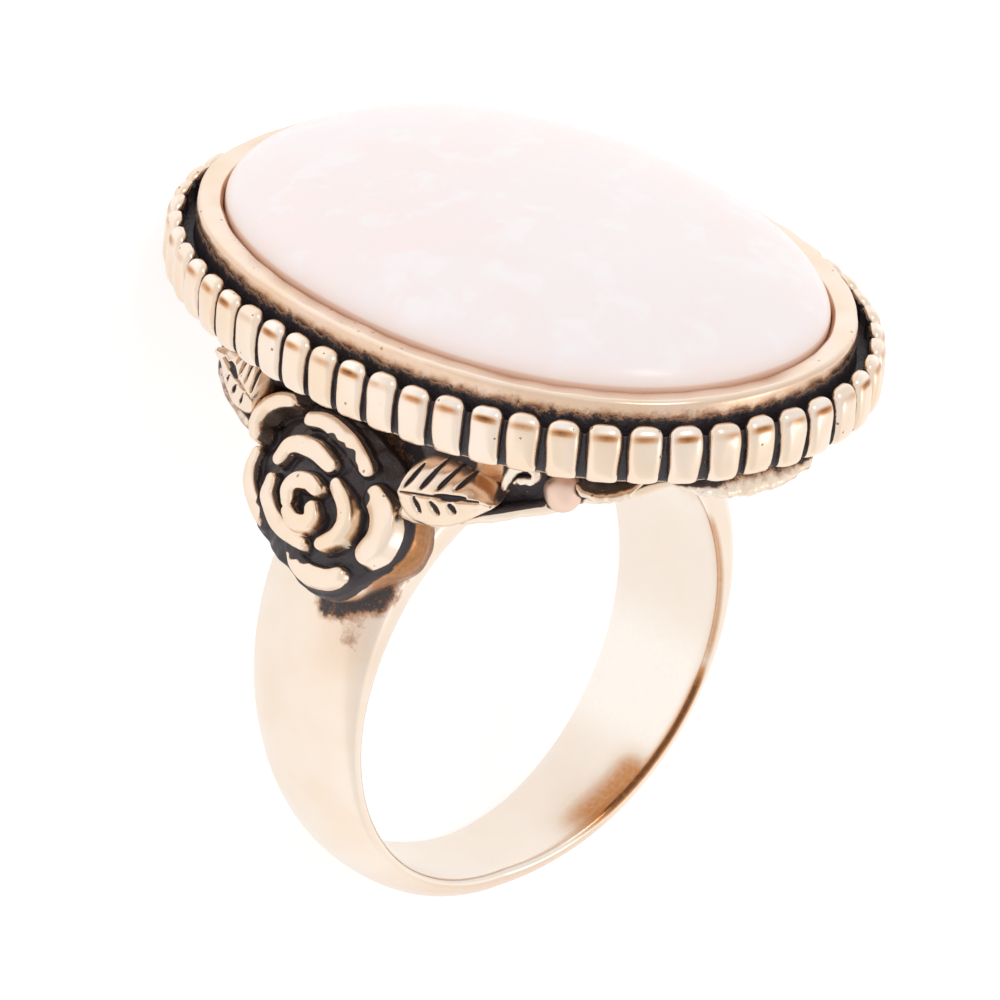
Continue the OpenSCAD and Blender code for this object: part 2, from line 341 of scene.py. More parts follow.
def joinRings(name, rings, closed=False, **values):
    # Closed rings of points joined one to the next, and the last to the first if closed
    rings = np.asarray(rings, float)
    count, around = rings.shape[:2]
    lower = np.arange(count * around).reshape(count, around)
    upper = np.roll(lower, -1, axis=0)
    if not closed:
        lower, upper = lower[:-1], upper[:-1]
    quads = np.stack([lower, np.roll(lower, -1, 1), np.roll(upper, -1, 1), upper], axis=-1).reshape(-1, 4)
    piece = newObject(name, rings.reshape(-1, 3), quads.tolist())
    for key, numbers in values.items():
        keepValues(piece, key, numbers)
    return piece


def tidyMesh(piece, merge=1e-4):
    # Doubles merged, holes filled, faces pointing out, smooth shading
    shape = bmesh.new()
    shape.from_mesh(piece.data)
    bmesh.ops.remove_doubles(shape, verts=shape.verts, dist=merge)
    openEdges = [e for e in shape.edges if e.is_boundary]
    if openEdges:
        bmesh.ops.holes_fill(shape, edges=openEdges, sides=0)
    bmesh.ops.recalc_face_normals(shape, faces=shape.faces)
    shape.to_mesh(piece.data)
    shape.free()
    for polygon in piece.data.polygons:
        polygon.use_smooth = True


def skin(name, rings, closed=False, **values):
    piece = joinRings(name, rings, closed, **values)
    tidyMesh(piece)
    return piece


def atHeight(outline, height):
    return np.column_stack([outline, np.broadcast_to(height, len(outline))])


def circleTurns(count):
    return np.linspace(0, 2 * np.pi, count + 1)[:-1]


def roundRing(turn, radius, height):
    return atHeight(np.stack([radius * np.cos(turn), radius * np.sin(turn)], 1), height)


def lathe(name, profile, count, middle=(0, 0, 0)):
    # A profile of [radius, height] turned round an upright axis
    return skin(name, [roundRing(circleTurns(count), radius, height) + middle for radius, height in profile])


def joined(name, pieces):
    # One object from several, with their meshes copied
    shape = bmesh.new()
    for piece in pieces:
        shape.from_mesh(piece.data)
    mesh = bpy.data.meshes.new(name)
    shape.to_mesh(mesh)
    shape.free()
    for piece in pieces:
        bpy.data.objects.remove(piece)
    return linked(name, mesh)


def applied(piece, name):
    # The object's modifiers turned into a plain mesh
    graph = bpy.context.evaluated_depsgraph_get()
    mesh = bpy.data.meshes.new_from_object(piece.evaluated_get(graph))
    bpy.data.objects.remove(piece)
    return linked(name, mesh)


def copyTurned(piece, name, matrix):
    copy = linked(name, piece.data.copy())
    copy.data.transform(matrix)
    if matrix.determinant() < 0:
        copy.data.flip_normals()
    return copy


halfTurn = Matrix.Rotation(math.pi, 4, "Z")
mirrorX = Matrix.Scale(-1, 4, (1, 0, 0))
mirrorY = Matrix.Scale(-1, 4, (0, 1, 0))


def withCopies(piece, turns):
    return [piece] + [copyTurned(piece, piece.name + "Copy", turn) for turn in turns]


# Lines
def lineAt(values, spots):
    # Read off a line through spots of [place, value]
    places, heights = np.array(spots, float).T
    return np.interp(values, places, heights)


def smoothLineAt(values, spots, count=200, rounds=60):
    # The same with its corners smoothed
    fine = np.linspace(spots[0][0], spots[-1][0], count)
    line = lineAt(fine, spots)
    for _ in range(rounds):
        line[1:-1] = (line[:-2] + 2 * line[1:-1] + line[2:]) / 4
    return np.interp(values, fine, line)


def arcPath(corners, radii, steps=6):
    # An open path through corners, each rounded to its radius
    path = [np.array(corners[0], float)]
    for before, corner, after, radius in zip(corners, corners[1:], corners[2:], radii):
        before, corner, after = (np.array(p, float) for p in (before, corner, after))
        start, end = corner + unit(before - corner) * radius, corner + unit(after - corner) * radius
        for t in np.arange(steps + 1) / steps:
            path.append((1 - t) ** 2 * start + 2 * t * (1 - t) * corner + t ** 2 * end)
    path.append(np.array(corners[-1], float))
    return np.array(path)


def curveThrough(points, count):
    # Evenly spaced points on a smooth curve through a few
    points = np.array(points, float)
    padded = np.vstack([2 * points[0] - points[1], points, 2 * points[-1] - points[-2]])
    line = []
    for k in range(1, len(padded) - 2):
        a, b, c, d = padded[k - 1:k + 3]
        for t in np.linspace(0, 1, 16, endpoint=False):
            line.append(0.5 * (
                2 * b + (c - a) * t + (2 * a - 5 * b + 4 * c - d) * t * t + (3 * b - a - 3 * c + d) * t ** 3
            ))
    line = np.array(line + [points[-1]])
    run = np.concatenate([[0], np.cumsum(np.linalg.norm(np.diff(line, axis=0), axis=1))])
    at = np.linspace(0, run[-1], count)
    return np.stack([np.interp(at, run, column) for column in line.T], axis=-1)


# The band: domed outside, wider and thicker towards the head. Its angles run from the middle of the palm.
bandSizes = {
    "fingerR": 8.7, "palmThick": 1.15, "shoulderThick": 2.2, "shoulderFrom": 70, "shoulderTo": 150,
    "palmWidth": 3.5, "headWidth": 6.6, "widthEase": 0.55,
    "edgeAtPalm": 0.16, "edgeAtHead": 0.40, "edgeFrom": 50, "edgeTo": 140, "innerRound": 0.24,
    "steps": 300, "domeSteps": 30, "boreSteps": 20,
}


def halfWidth(angle):
    b = bandSizes
    rise = (1 - np.cos(angle)) / 2
    return b["palmWidth"] / 2 + (b["headWidth"] - b["palmWidth"]) / 2 * rise ** b["widthEase"]


def fromPalm(angle):
    return np.degrees(np.minimum(angle, 2 * np.pi - angle))


def bandThick(angle):
    b = bandSizes
    rise = step(fromPalm(angle), b["shoulderFrom"], b["shoulderTo"])
    return b["palmThick"] + (b["shoulderThick"] - b["palmThick"]) * rise


def bandEdge(angle):
    # The share of the thickness that stands upright at the side
    b = bandSizes
    return b["edgeAtPalm"] + (b["edgeAtHead"] - b["edgeAtPalm"]) * step(fromPalm(angle), b["edgeFrom"], b["edgeTo"])


def makeBand():
    b = bandSizes
    r, ease = b["fingerR"], b["innerRound"]
    turn = np.radians(np.linspace(0, 90, 5))
    dome = np.radians(np.linspace(0, 180, b["domeSteps"]))
    rings = []
    for k in range(b["steps"]):
        angle = 2 * math.pi * k / b["steps"]
        half, thick = float(halfWidth(angle)), float(bandThick(angle))
        share = max(float(bandEdge(angle)), ease / thick)
        bore = np.stack([np.linspace(-half + ease, half - ease, b["boreSteps"]), np.full(b["boreSteps"], r)], 1)
        corner = np.stack([half - ease + ease * np.sin(turn), r + ease - ease * np.cos(turn)], 1)
        outer = np.stack([half * np.cos(dome), r + thick * (share + (1 - share) * np.sin(dome))], 1)
        y, radius = np.concatenate([bore, corner[1:], outer, (corner * [-1, 1])[::-1][:-1]]).T
        rings.append(np.stack([radius * math.sin(angle), y, -radius * math.cos(angle)], 1))
    return skin("band", rings, closed=True)


# The bezel: plate, trench floor, wall and rim, round the pocket of the stone
bezelSizes = {
    "plateOut": 0.5, "lowZ": 12.86, "trenchZ": 14.1, "seatZ": 13.45, "steps": 360,
    "rimZ": 15.72, "rimWidth": 1.0, "rimLean": 0.02, "lipWidth": 0.14, "lipOuter": 0.05, "lipInner": 0.22,
    "rounds": [0.05, 0.06, 0.27, 0.05, 0.05], "shares": (0, 0.35, 0.7),
}


def makeBezel():
    b = bezelSizes
    rim, top = -b["rimWidth"], b["rimZ"]
    corners = [
        (b["plateOut"], b["lowZ"]), (b["plateOut"], b["trenchZ"]), (0.0, b["trenchZ"]), (-b["rimLean"], top),
        (rim + b["lipWidth"], top - b["lipOuter"]), (rim, top - b["lipInner"]), (rim, b["seatZ"]),
    ]
    angles = evenAngles(b["steps"])
    rings = [atHeight(beside(angles, b["plateOut"]) * share, b["lowZ"]) for share in b["shares"]]
    rings += [atHeight(beside(angles, u), z) for u, z in arcPath(corners, b["rounds"])]
    rings += [atHeight(beside(angles, rim) * share, b["seatZ"]) for share in b["shares"][::-1]]
    return skin("bezel", rings)


# The ribbed border: one rib drawn as [share of the pitch, distance out, height], repeated along the oval
ribSizes = {
    "count": 56, "curveSteps": 1440, "uneven": 0.02, "seed": 7,
    "reach": 1.1, "topZ": 15.05, "lowZ": 12.86, "depth": 0.42, "half": 0.445, "front": 0.56, "fullness": 2.8,
    "root": -0.5, "rootZ": 13.7, "troughZ": 14.0,
    # how the crest and the groove bend over into the channel, as [inward, down]
    "crestBack": [(0.05, 0.03), (0.09, 0.11), (0.10, 0.25)],
    "grooveBack": [(0.02, 0.02), (0.03, 0.06), (0.03, 0.15)],
    # the lower end and the tip are narrower
    "lowNarrow": 0.13, "lowTall": 1.5, "tipZ": 14.3, "tipNarrow": 0.58, "tipFrom": 0.38, "tipLong": 0.5,
    # where the painted dark reflection and painted highlight sit on each rib's cap
    "capZ": 14.72, "capTall": 0.10, "capOut": 0.7, "capWide": 0.37,
    "across": [
        0, 0.07, 0.14, 0.20, 0.25, 0.285, 0.31, 0.33, 0.347, 0.36,
        0.372, 0.383, 0.393, 0.402, 0.41, 0.42, 0.44, 0.47, 0.5,
    ],
}


def ribLine(front, foot, top, back, lower):
    # From the root inside the bezel, up the front, over the top and down into the trough
    r = ribSizes
    start = r["reach"] - r["front"]
    behind = [(start - inward, top - down) for inward, down in back]
    trough = [(behind[-1][0], r["troughZ"] - lower), (r["root"], r["rootZ"] - lower)]
    return np.vstack([[(r["root"], r["lowZ"] + foot)], front, behind, trough])


def ribMesh():
    r = ribSizes
    start, top, low, depth, front = r["reach"] - r["front"], r["topZ"], r["lowZ"], r["depth"], r["front"]
    middle, tall = (top + low) / 2, (top - low) / 2
    turn = np.radians(np.linspace(-90, 90, 26))
    out, up = signedPow(np.cos(turn), 2 / r["fullness"]), signedPow(np.sin(turn), 2 / r["fullness"])
    crest = np.column_stack([start + front * out, middle + tall * up])
    groove = np.column_stack([start + (front - depth) * out, middle + np.where(up > 0, tall - depth, tall - 0.06) * up])
    crest = ribLine(crest, 0.02, top, r["crestBack"], 0)
    groove = ribLine(groove, 0.06, top - depth, r["grooveBack"], 0.1)
    out, height = crest.T
    narrow = 1 - r["lowNarrow"] * (1 - np.clip((height - low) / r["lowTall"], 0, 1))
    tip = 1 - np.clip((out - r["tipFrom"]) / r["tipLong"], 0, 1)
    tip = 1 - r["tipNarrow"] * (1 - np.sqrt(1 - tip ** 2))
    narrow = np.where(height > r["tipZ"], np.minimum(narrow, tip), narrow)
    # a painted dark reflection at the bend of the cap, and a painted highlight line above it
    cap = 1.3 * hump(height, r["capZ"], r["capTall"]) - 0.5 * step(height, r["capZ"] + 0.10, r["capZ"] + 0.18)
    cap *= out > r["capOut"]
    rows, sunk, capped = [], [], []
    for s in [-a for a in r["across"][:0:-1]] + r["across"]:
        sink = 1 - (1 - np.minimum(abs(s) / (r["half"] * narrow), 1) ** 3.6) ** 0.5
        sunk.append(sink)
        capped.append(cap * max(1 - (s / r["capWide"]) ** 2, 0))
        sink = sink[:, None]
        rows.append(np.column_stack([np.full(len(crest), s), crest * (1 - sink) + groove * sink]))
    return joinRings("rib", rows, cut=sunk, cap=capped)


def makeRibs():
    r = ribSizes
    tree = bpy.data.node_groups.new("ribbedBorder", "GeometryNodeTree")
    face = tree.interface
    face.new_socket("Rib", in_out="INPUT", socket_type="NodeSocketGeometry")
    wanted = {
        "Count": ("Int", r["count"]), "Oval width": ("Float", oval["width"]), "Oval length": ("Float", oval["length"]),
        "Squareness": ("Float", oval["squareness"]), "Uneven": ("Float", r["uneven"]), "Seed": ("Int", r["seed"]),
    }
    sockets = {
        name: face.new_socket(name, in_out="INPUT", socket_type="NodeSocket" + kind)
        for name, (kind, _) in wanted.items()
    }
    face.new_socket("Border", in_out="OUTPUT", socket_type="NodeSocketGeometry")
    given = tree.nodes.new("NodeGroupInput").outputs

    def add(kind, sockets=None, **settings):
        return addNode(tree, kind, sockets, **settings).outputs[0]

    # the oval, as a circle pushed to the bezel's outline
    circle = add("GeometryNodeCurvePrimitiveCircle", {"Resolution": r["curveSteps"], "Radius": 1.0})
    onCircle = addNode(tree, "ShaderNodeSeparateXYZ", {0: add("GeometryNodeInputPosition")}).outputs
    power = mathNode(tree, "DIVIDE", 2.0, given["Squareness"])
    sides = []
    for axis, size in ((0, "Oval width"), (1, "Oval length")):
        grown = mathNode(tree, "POWER", mathNode(tree, "ABSOLUTE", onCircle[axis]), power)
        signed = times(tree, grown, mathNode(tree, "SIGN", onCircle[axis]))
        sides.append(times(tree, signed, times(tree, given[size], 0.5)))
    shaped = add("ShaderNodeCombineXYZ", {0: sides[0], 1: sides[1]})
    curve = add("GeometryNodeSetPosition", {"Geometry": circle, "Position": shaped})

    # one rib for each point, numbered, then laid along the oval
    line = add("GeometryNodeMeshLine", {"Count": given["Count"], "Offset": (0, 0, 0)})
    ribs = add("GeometryNodeInstanceOnPoints", {"Points": line, "Instance": given["Rib"]})
    numbering = {"Geometry": ribs, "Name": "ribNumber", "Value": add("GeometryNodeInputIndex")}
    numbered = add("GeometryNodeStoreNamedAttribute", numbering, data_type="FLOAT", domain="INSTANCE")
    loose = add("GeometryNodeRealizeInstances", {"Geometry": numbered})
    number = add("GeometryNodeInputNamedAttribute", {"Name": "ribNumber"}, data_type="FLOAT")
    drawn = addNode(tree, "ShaderNodeSeparateXYZ", {0: add("GeometryNodeInputPosition")}).outputs
    along = mathNode(tree, "FRACT", mathNode(tree, "DIVIDE", plus(tree, number, drawn[0]), given["Count"]))
    found = addNode(
        tree, "GeometryNodeSampleCurve", {"Curves": curve, "Factor": along}, mode="FACTOR", use_all_curves=True,
    ).outputs
    out = add("ShaderNodeVectorMath", {0: found["Tangent"], 1: (0, 0, 1)}, operation="CROSS_PRODUCT")

    # each rib a little different, but its edges in the grooves stay where they are
    middle = mathNode(tree, "COSINE", times(tree, drawn[0], math.pi))
    moves = []
    for k in range(3):
        pick = {2: -1.0, 3: 1.0, 7: number, 8: plus(tree, given["Seed"], float(k))}
        pick = addNode(tree, "FunctionNodeRandomValue", pick, data_type="FLOAT").outputs[1]
        moves.append(times(tree, times(tree, pick, given["Uneven"]), middle))
    total = found["Position"]
    for part in (
        add("ShaderNodeVectorMath", {0: out, "Scale": plus(tree, drawn[1], moves[0])}, operation="SCALE"),
        add("ShaderNodeVectorMath", {0: found["Tangent"], "Scale": moves[1]}, operation="SCALE"),
        add("ShaderNodeCombineXYZ", {2: plus(tree, drawn[2], moves[2])}),
    ):
        total = add("ShaderNodeVectorMath", {0: total, 1: part}, operation="ADD")
    laid = add("GeometryNodeSetPosition", {"Geometry": loose, "Position": total})
    finish = add("GeometryNodeSetMaterial", {"Geometry": laid, "Material": materials["rib"]})
    addNode(tree, "NodeGroupOutput", {0: finish})

    rib = ribMesh()
    modifier = rib.modifiers.new("ribbedBorder", "NODES")
    modifier.node_group = tree
    for name, (_, value) in wanted.items():
        modifier[sockets[name].identifier] = value
    ribs = applied(rib, "ribs")
    tidyMesh(ribs, 0.002)
    return ribs


# The gallery under the head: its lower edge climbs from the band towards the head's two tips
gallerySizes = {
    "inset": -1.75, "behind": -2.05, "clear": 0.3, "climb": 0.25, "climbMore": 0.0157, "topZ": 12.95, "steps": 288,
    "niche": 4.9, "nicheFrom": -0.7, "nicheTo": 8.3, "nicheSteps": 96,
}


def keelZ(y):
    g = gallerySizes
    past = np.maximum(np.abs(y) - bandSizes["headWidth"] / 2, 0)
    return bandSizes["fingerR"] + np.maximum(g["clear"], g["climb"] * past + g["climbMore"] * past * past)


roseSeat = {"middle": (9.05, 0, 8.43), "lean": 30}
atRose = (
    Matrix.Translation(roseSeat["middle"])
    @ Matrix.Rotation(math.radians(90 - roseSeat["lean"]), 4, "Y")
    @ Matrix.Rotation(math.radians(90), 4, "Z")
)


def makeGallery():
    g = gallerySizes
    outline = beside(evenAngles(g["steps"]), g["inset"])
    low = keelZ(outline[:, 1])
    rings = [atHeight(outline * k, keelZ(outline[:, 1] * k)) for k in np.linspace(0, 1, 14) ** 0.8]
    rings += [atHeight(outline, low + (g["topZ"] - low) * k) for k in np.linspace(0, 1, 12)[1:]]
    rings.append(atHeight(outline * 0, g["topZ"]))
    gallery = skin("gallery", rings)

    # room for each rose in the wall
    drum = [(0, g["nicheFrom"]), (g["niche"], g["nicheFrom"]), (g["niche"], g["nicheTo"]), (0, g["nicheTo"])]
    cutter = lathe("niche", drum, g["nicheSteps"])
    cutter.data.transform(atRose)
    cutters = withCopies(cutter, [halfTurn])
    for tool in cutters:
        cut = gallery.modifiers.new("niche", "BOOLEAN")
        cut.operation, cut.object, cut.solver = "DIFFERENCE", tool, "EXACT"
    gallery = applied(gallery, "gallery")
    for tool in cutters:
        bpy.data.objects.remove(tool)
    tidyMesh(gallery)
    return gallery


# The rail along the gallery's lower edge: it swells out under a leaf and runs round each tip, and beyond
# the bead it hangs like a garland. Its path is [degrees, distance out].
railSizes = {
    "radius": 0.27, "steps": 150, "uneven": 0.04, "swagFrom": 0.6, "swagTall": 0.42, "swagLong": 4.5,
    "path": [(15.5, -1.15), (22, -0.98), (27, -0.90), (33, -0.98), (38, -1.3), (43, -1.45), (60, -1.6), (90, -1.6)],
}
beadSizes = {"at": 46.7, "radius": 0.72, "tall": 0.80, "lift": 0.52, "rings": 25, "steps": 40}


def fromEnds(degrees):
    return 90 - np.abs(90 - degrees)


def railOut(degrees):
    return smoothLineAt(fromEnds(degrees), railSizes["path"], 150, 6)


def railPoint(degrees, u, height):
    r, angle = railSizes, np.radians(degrees)
    keel = keelZ(beside(angle, railOut(degrees))[..., 1])
    past = np.maximum(fromEnds(degrees) - beadSizes["at"] - r["swagFrom"], 0)
    swag = np.where(past > 0, r["swagTall"] * hump(past, 0, r["swagLong"]), 0)
    x, y = np.moveaxis(beside(angle, u), -1, 0)
    return np.stack([x, y, keel + r["radius"] / 2 + height + swag], -1)


def makeRail():
    r = railSizes
    start = r["path"][0][0]
    degrees = np.linspace(start, 180 - start, r["steps"])
    root, out = np.full(r["steps"], gallerySizes["behind"]), railOut(degrees)
    thick = r["radius"] * (1 + r["uneven"] * np.sin(degrees * 0.9))
    columns = [railPoint(degrees, root, 0.6 * r["radius"])]
    for a in np.radians(np.linspace(90, -90, 15)):
        columns.append(railPoint(degrees, out + thick * 0.9 * math.cos(a), thick * math.sin(a)))
    columns.append(railPoint(degrees, root, -0.6 * r["radius"]))
    return skin("rail", np.stack(columns, 1))


def makeBeads():
    b = beadSizes
    turns = np.radians(np.linspace(-90, 90, b["rings"]))
    profile = [(b["radius"] * math.cos(e) * (1 + 0.08 * math.sin(e)), b["tall"] * math.sin(e)) for e in turns]
    beads = []
    for at in (b["at"], 180 - b["at"]):
        at = np.array(at)
        beads.append(lathe("bead", profile, b["steps"], railPoint(at, railOut(at), b["lift"])))
    return joined("beads", beads)


# Under the border at each tip: a small garland beyond each bead, and a ragged lip between them.
# A section is [share of the way out, share of the height].
garlandSizes = {
    "from": 48.5, "to": 65.5, "root": -2.0, "ends": -1.15, "out": -0.62, "thick": 0.34, "frill": 0.05, "steps": 44,
    "drop": [(48.5, 11.72), (51, 11.45), (54, 11.36), (58, 11.42), (61, 11.6), (63.5, 12.05), (65.5, 12.9)],
    "section": [
        (0, 0.25), (0.55, 0.05), (0.85, 0.0), (0.97, 0.2), (1.0, 0.5), (0.95, 0.8), (0.85, 0.95), (0.7, 0.9),
        (0.5, 0.95), (0, 1.6),
    ],
}
lipSizes = {
    "from": 66, "to": 104, "root": -1.9, "ends": -0.3, "out": 0.62, "outBack": 0.2, "low": 11.85, "lowBack": 12.1,
    "endZ": 12.86, "topZ": 12.95, "steps": 110,
    "section": [(0, 0.0), (0.75, 0.0), (0.92, 0.03), (1.0, 0.15), (1.0, 0.35), (0.93, 0.5), (0.85, 1.0), (0, 1.0)],
}


def swelling(sizes, power):
    # The degrees along a trim, and how far it has swelled at each: not at all at its ends
    degrees = np.linspace(sizes["from"], sizes["to"], sizes["steps"])
    return degrees, np.sin(np.pi * (degrees - sizes["from"]) / (sizes["to"] - sizes["from"])) ** power


def trimAlong(name, sizes, degrees, out, low, tall, frill=0.0):
    columns = []
    for across, up in sizes["section"]:
        u = sizes["root"] + (out - sizes["root"]) * across + (frill if across > 0.8 else 0.0)
        columns.append(np.column_stack([beside(np.radians(degrees), u), low + tall * up]))
    return skin(name, np.stack(columns, 1))


def makeGarland():
    g = garlandSizes
    degrees, share = swelling(g, 0.6)
    out = g["ends"] + (g["out"] - g["ends"]) * share
    thick = g["thick"] * (0.5 + 0.5 * share)
    frill = g["frill"] * np.sin(degrees * 1.9)
    return trimAlong("garland", g, degrees, out, smoothLineAt(degrees, g["drop"]), thick, frill)


def makeLip(name, reach, lowest):
    g = lipSizes
    degrees, share = swelling(g, 0.5)
    ragged = 0.025 * np.sin(degrees * 1.3) + 0.012 * np.sin(degrees * 3.3 + 1)
    out = g["ends"] + (reach - g["ends"]) * share + ragged
    low = g["endZ"] + (lowest - g["endZ"]) * share - 0.5 * ragged * share
    return trimAlong(name, g, degrees, out, low, g["topZ"] - low)


# A small scroll between each leaf and bead, as [degrees, distance out, height] along its middle
scrollSizes = {
    "path": [
        (35.3, -1.05, 11.1), (36.0, -1.0, 11.65), (37.4, -0.95, 12.1), (39.4, -0.9, 12.36), (41.2, -0.9, 12.25),
        (41.5, -0.92, 11.98), (40.2, -0.95, 11.82), (38.4, -1.0, 11.74), (36.8, -1.05, 11.5),
    ],
    "radius": 0.21, "taper": 0.15, "deeper": 1.3, "steps": 46, "around": 14,
}


def makeScroll():
    g = scrollSizes
    degrees, u, height = curveThrough(g["path"], g["steps"]).T
    angle = np.radians(degrees)
    share = np.linspace(-1, 1, g["steps"])
    radius = g["radius"] * np.sqrt(np.maximum(1 - share ** 8, 0.02)) * (1 - g["taper"] * share)
    middle = np.column_stack([beside(angle, u), height])
    along = unit(np.gradient(middle, axis=0))
    side = unit(np.cross(along, atHeight(beside(angle, u + 0.1) - beside(angle, u), 0.0)))
    out = np.cross(side, along)
    rings = [
        middle + radius[:, None] * (math.cos(a) * side + g["deeper"] * math.sin(a) * out)
        for a in circleTurns(g["around"])
    ]
    return skin("scroll", np.stack(rings, 1))


# A leaf: a raised lens with a midrib and cut veins, wrapped on the gallery's wall
leafSizes = {
    "width": 2.5, "from": 16.6, "to": 35.3, "rootOut": -0.98, "rootZ": 10.2, "tipZ": 10.8, "length": 5.2,
    "thick": 0.38, "curl": -0.1, "lean": 0.42, "knob": 0.16, "turnedDown": 0.25, "rows": 90, "columns": 60,
    # each vein from [share of the length, share of the half width] to the same, and its width
    "veins": [
        ((0.05, 0.22), (0.15, 0.80), 0.12), ((0.21, 0.20), (0.33, 0.84), 0.12), ((0.37, 0.22), (0.49, 0.82), 0.12),
        ((0.54, 0.28), (0.63, 0.72), 0.12), ((0.16, -0.14), (0.24, -0.50), 0.12), ((0.33, -0.16), (0.43, -0.46), 0.12),
        ((0.52, -0.18), (0.59, -0.42), 0.12), ((0.36, 0.02), (0.66, 0.05), 0.12), ((0.02, -0.02), (0.80, 0.02), 0.055),
    ],
    "veinDepth": 0.24,
}
slightLeafSizes = leafSizes | {"width": 2.2, "from": 18.2, "rootOut": -1.32, "rootZ": 10.35}


def leafHalf(s, width):
    # blunt at the root, widest at a third, pointed at the tip
    share = np.sin(np.pi * np.clip(s, 0, 1) ** 0.62)
    return width / 2 * share ** np.where(s < 0.33, 0.45, 0.85) + 0.03


def veinEnd(s, v):
    return np.array([s * leafSizes["length"], v * float(leafHalf(np.array(s), leafSizes["width"]))])


def makeLeaf(name, f):
    s = np.linspace(0, 1, f["rows"] + 1)[:, None]
    v = np.sin(np.linspace(-np.pi / 2, np.pi / 2, f["columns"] + 1))[None, :]
    s, v = np.broadcast_arrays(s, v)
    half = leafHalf(s, f["width"]) * np.where(v > 0, 1 - 0.30 * step(s, 0.1, 0.6), 1)
    cut = np.zeros_like(s)
    for a, b, wide in f["veins"]:
        a, b = veinEnd(*a), veinEnd(*b)
        spot = np.stack([s * f["length"], v * half], -1)
        share = np.clip(((spot - a) @ (b - a)) / ((b - a) @ (b - a)), 0, 1)
        away = np.linalg.norm(spot - a - share[..., None] * (b - a), axis=-1)
        cut = np.maximum(cut, hump(away, 0, wide * (0.55 + 0.45 * np.sin(np.pi * share))))
    swell = 1.4 - np.abs(v) ** 2.6 + 0.16 * hump(np.abs(v), 0.12, 0.16)
    out = f["rootOut"] + f["curl"] * s + f["thick"] * swell - f["veinDepth"] * cut
    out -= f["turnedDown"] * np.abs(v) ** 10  # the edge turns down to the wall
    out += f["knob"] * hump(s, 0.93, 0.06) - f["lean"] * v * np.sin(np.pi * s) ** 0.5  # a knob at the tip
    angle = np.radians(f["from"] + (f["to"] - f["from"]) * s)
    height = f["rootZ"] + (f["tipZ"] - f["rootZ"]) * s + half * v
    front = np.concatenate([beside(angle, out), height[..., None]], -1)
    back = np.concatenate([beside(angle, np.full_like(s, gallerySizes["behind"])), height[..., None]], -1)
    cut = np.concatenate([cut, np.zeros_like(cut)], axis=1)
    return skin(name, np.concatenate([front, back[:, ::-1]], axis=1), cut=cut)


# The rose: petals raised as round arcs on a low boss, carved as one surface
# A petal is [points in the disc's plane, half width, height of its crest]; x runs towards +Y and y runs up the disc
petals = {
    "outerLeft": ([(-2.95, 2.4), (-3.6, 2.15), (-4.05, 1.7), (-4.15, 1.15), (-3.9, 0.72)], 0.50, 0.55),
    "outerTop": ([(-1.85, 2.12), (-1.1, 2.3), (-0.2, 2.2), (0.8, 1.93), (1.7, 1.5)], 0.50, 0.44),
    "outerRight": ([(2.45, 0.75), (3.05, 0.4), (3.35, -0.1), (3.4, -0.65), (3.15, -1.2)], 0.74, 0.30),
    "outerLow": ([(-0.15, -2.3), (0.4, -2.68), (1.1, -2.84), (1.8, -2.7), (2.35, -2.35)], 0.50, 0.16),
    "outerBack": ([(-3.9, 0.1), (-3.85, -0.5), (-3.45, -1.15), (-2.7, -1.7), (-1.95, -2.05)], 0.38, 0.0),
    "middleTop": ([(-1.98, 0.4), (-1.85, 0.9), (-1.35, 1.18), (-0.5, 1.22), (0.4, 1.02)], 0.50, 0.90),
    "middleLow": ([(-1.98, -0.45), (-1.82, -1.02), (-1.2, -1.52), (-0.3, -1.85), (0.65, -1.95)], 0.42, 0.80),
    "middleRight": ([(1.05, 0.5), (1.7, 0.1), (2.1, -0.5), (2.02, -1.1), (1.55, -1.6)], 0.46, 0.86),
    "heartTop": ([(0.5, 0.06), (-0.02, 0.14), (-0.56, -0.04), (-0.70, -0.45), (-0.5, -0.80)], 0.47, 1.18),
    "heartLow": ([(-0.3, -1.14), (0.12, -1.34), (0.6, -1.26), (0.84, -0.94), (0.66, -0.62)], 0.45, 1.14),
}
roseSizes = {
    "rings": 116, "spokes": 600, "depth": -2.8, "rough": 0.026, "petalSteps": 60, "soften": 0.5, "softenTimes": 4,
    "ground": [(0, 0.62), (0.9, 0.56), (1.9, 0.26), (2.9, -0.2), (3.7, -0.55), (5.5, -1.1)],
    # how far the boss reaches at each angle, in degrees from +x of the disc
    "edge": [
        (-180, 3.9), (-150, 3.3), (-120, 3.0), (-90, 3.0), (-65, 3.3), (-45, 3.7), (-20, 4.0), (5, 3.9), (30, 3.5),
        (60, 2.9), (90, 2.8), (120, 3.1), (150, 3.9), (180, 3.9),
    ],
    "side": [(0.03, 0.05), (0.05, 0.16), (0.06, 0.4), (0.06, 0.8), (0.0, 1.4)],  # out from the edge, and down
}


def groundHeight(x, y):
    rough = np.sin(5.1 * x + 2.3 * y) + np.sin(-3.7 * x + 6.1 * y + 1) + np.sin(9.2 * x - 4.4 * y + 2)
    return lineAt(np.hypot(x, y), roseSizes["ground"]) + roseSizes["rough"] * rough


